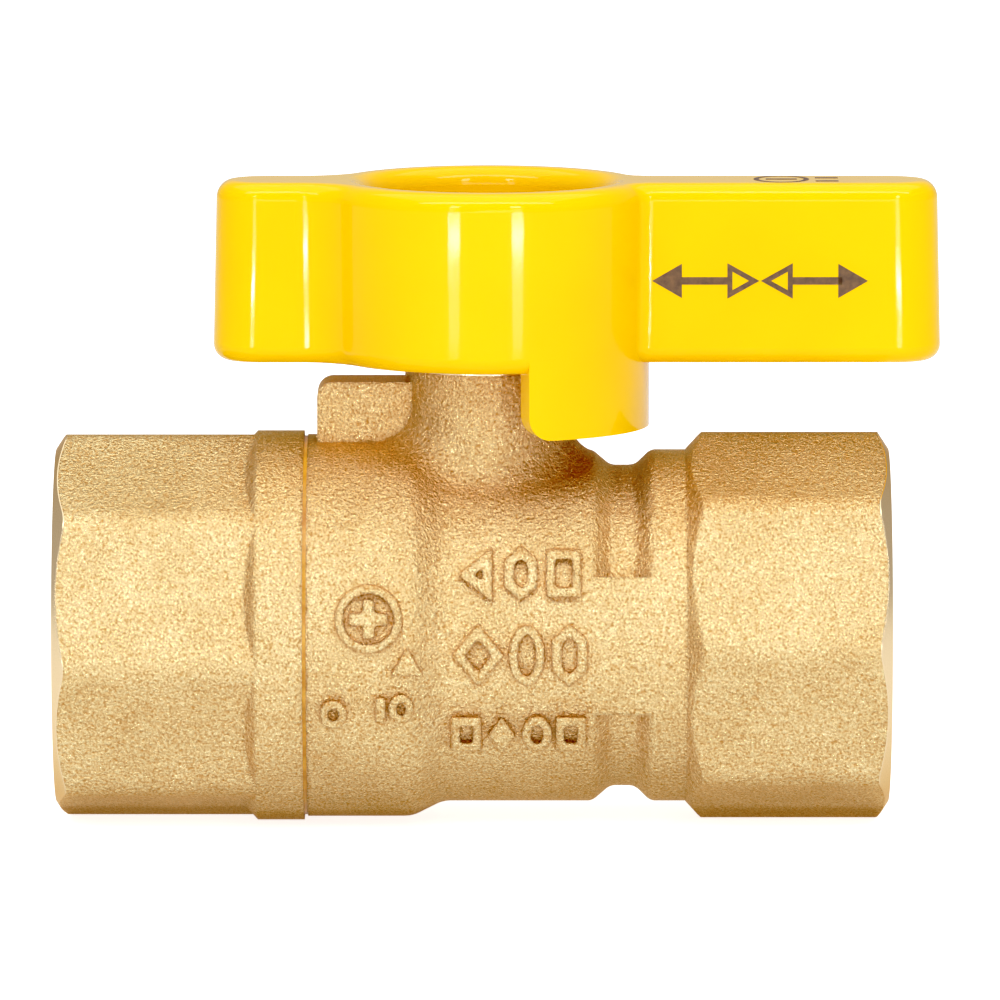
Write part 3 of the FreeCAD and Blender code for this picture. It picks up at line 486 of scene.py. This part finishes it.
def raise_marks(name, surface, rows):
    """Joins the trimmed prisms of one surface and rounds their edges."""
    piece = join([prism(surface, *row) for row in rows], name)
    finish_with(piece, "REMESH", mode="VOXEL", voxel_size=0.075 * MM)
    finish_with(piece, "SMOOTH", factor=0.5, iterations=24)
    bpy.ops.object.select_all(action="DESELECT")
    piece.select_set(True)
    bpy.ops.object.shade_smooth()
    piece.data.materials.clear()
    piece.data.materials.append(forged_brass)
    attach(piece, "valve_body")


# Each row: sides, centre along and up, half sizes, turn, wall.
raise_marks(
    "chamber_marks",
    CHAMBER_RADIUS,
    [
        (40, (21.5, 2.1), (2.3, 2.3), 0.0, FINE),
        (4, (21.5, 2.1), (1.9, 0.6), QUARTER, SOLID),
        (4, (21.5, 2.1), (0.6, 1.9), QUARTER, SOLID),
        (3, (24.1, -1.1), (1.35, 1.35), 0.0, SOLID),
        (24, (19.1, -4.5), (0.95, 1.05), 0.0, FINE),
        (4, (22.3, -4.2), (0.5, 1.3), QUARTER, SOLID),
        (24, (23.7, -4.1), (0.9, 1.05), 0.0, FINE),
    ],
)
raise_marks(
    "barrel_marks",
    BARREL_RADIUS,
    [
        (3, (29.1, 4.9), (1.6, 2.1), -HALF, BROAD),
        (6, (31.8, 5.0), (1.3, 1.8), 0.0, BROAD),
        (4, (34.7, 5.0), (1.7, 2.2), QUARTER, MEDIUM),
        (4, (28.9, -0.5), (1.8, 2.2), 0.0, BROAD),
        (32, (32.2, -0.5), (1.25, 2.1), 0.0, MEDIUM),
        (6, (35.1, -0.5), (1.4, 2.2), 0.0, BROAD),
        (4, (28.1, -6.1), (1.5, 1.8), QUARTER, MEDIUM),
        (4, (30.5, -6.2), (1.0, 1.4), 0.0, SOLID),
        (24, (32.9, -6.1), (1.05, 1.35), 0.0, MEDIUM),
        (4, (35.2, -6.1), (1.5, 1.8), QUARTER, MEDIUM),
    ],
)

# ---------------------------------------------------------------------------------------------
# Floor: a plain pale sheet that the valve stands on. It looks nearly white from the camera, and
# is greyer in the light that it sends on to the metal.

STEM_X = (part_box("stem")[0].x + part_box("stem")[1].x) / 2
bpy.ops.object.select_all(action="DESELECT")
bpy.ops.mesh.primitive_plane_add(size=30.0, location=(STEM_X, 0.0, cad_box[0][2] - 0.02 * MM))
floor = bpy.context.object
floor.name = "floor"
material, tree, shader, _ = new_material("pale floor")
seen = add(tree, "LightPath").outputs["Is Camera Ray"]
tone = mix(tree, "RGBA", seen, (0.55, 0.55, 0.55, 1.0), (0.9, 0.9, 0.9, 1.0))
glow = mix(tree, "RGBA", seen, (0.4, 0.4, 0.4, 1.0), (0.8, 0.8, 0.8, 1.0))
feed(shader, Base_Color=tone, Roughness=0.9, Specular_IOR_Level=0.0)
feed(shader, Emission_Color=glow, Emission_Strength=1.0)
floor.data.materials.append(material)

# ---------------------------------------------------------------------------------------------
# Light: a wide soft box and a bar overhead, a pair of strips close in front with small bright
# bars in them, a pair of stronger boxes above them, a far panel in front and a pale surround.


def add_light(name, place, aim, size, radiance):
    """A rectangular soft box of a given radiance, turned towards a point and itself unseen."""
    data = bpy.data.lights.new(name, "AREA")
    data.shape = "RECTANGLE"
    data.size, data.size_y = size
    data.energy = radiance * math.pi * size[0] * size[1]
    lamp = bpy.data.objects.new(name, data)
    bpy.context.scene.collection.objects.link(lamp)
    lamp.location = place
    lamp.rotation_euler = (Vector(place) - Vector(aim)).to_track_quat("Z", "Y").to_euler()
    lamp.visible_camera = False


TARGET = Vector((STEM_X, 0.0, 10.0 * MM))
STRIP_TURNS = {"left": -22.8, "right": 21.3}
STRIP_SIZE = (0.035, 0.13)
STRIP_DISTANCE = 0.28
STRIP_RISE = 0.045
GLINT_SIZE = (0.04, 0.002)
GLINT_DISTANCE = STRIP_DISTANCE - 0.001
GLINTS = ((-2.0 * MM, 70.0), (-9.8 * MM, 35.0))
HIGH_SIZE = (0.06, 0.09)
HIGH_DISTANCE = 0.45
HIGH_RISE = 0.26
UP = Vector((0.0, 0.0, 1.0))

add_light("overhead box", TARGET + Vector((0.0, 0.05, 0.60)), TARGET, (0.9, 0.7), 1.0)
add_light("overhead bar", TARGET + Vector((0.0, -0.26, 0.43)), TARGET, (0.8, 0.10), 4.4)
for name, turn in STRIP_TURNS.items():
    angle = math.radians(turn)
    ahead = Vector((math.sin(angle), -math.cos(angle), 0.0))
    strip = TARGET + ahead * STRIP_DISTANCE + UP * STRIP_RISE
    add_light(name + " strip", strip, strip - ahead, STRIP_SIZE, 3.0)
    for rise, radiance in GLINTS:
        glint = TARGET + ahead * GLINT_DISTANCE + UP * rise
        add_light(name + " glint", glint, glint - ahead, GLINT_SIZE, radiance)
    high = TARGET + ahead * HIGH_DISTANCE + UP * HIGH_RISE
    add_light(name + " box", high, TARGET, HIGH_SIZE, 10.0)
add_light("front panel", TARGET + Vector((0.0, -1.3, 0.06)), TARGET, (0.8, 0.4), 2.3)

world = bpy.data.worlds.new("studio")
bpy.context.scene.world = world
world.use_nodes = True
surround = world.node_tree.nodes["Background"]
feed(surround, i0=(1.0, 1.0, 1.0, 1.0), i1=0.47)

# A tone curve that presses the darkest tones down a little.
view = bpy.context.scene.view_settings
view.view_transform = "Standard"
view.use_curve_mapping = True
for level, shown in ((0.03, 0.008), (0.1, 0.09), (0.3, 0.3), (0.6, 0.62)):
    view.curve_mapping.curves[3].points.new(level, shown)
view.curve_mapping.update()

# ---------------------------------------------------------------------------------------------
# Camera: a long lens a little above the run, square to it.

ELEVATION = math.radians(7.0)
DISTANCE = 0.9
FRAME_WIDTH = 68.5 * MM
aim = Vector((STEM_X + 0.89 * MM, 0.0, 8.62 * MM))
camera_data = bpy.data.cameras.new("camera")
camera_data.sensor_width = 36.0
camera_data.lens = camera_data.sensor_width * DISTANCE / FRAME_WIDTH
camera_data.clip_start = 0.05
camera_data.clip_end = 50.0
camera = bpy.data.objects.new("camera", camera_data)
bpy.context.scene.collection.objects.link(camera)
camera.location = aim + Vector((0.0, -math.cos(ELEVATION), math.sin(ELEVATION))) * DISTANCE
camera.rotation_euler = (HALF - ELEVATION, 0.0, 0.0)
bpy.context.scene.camera = camera
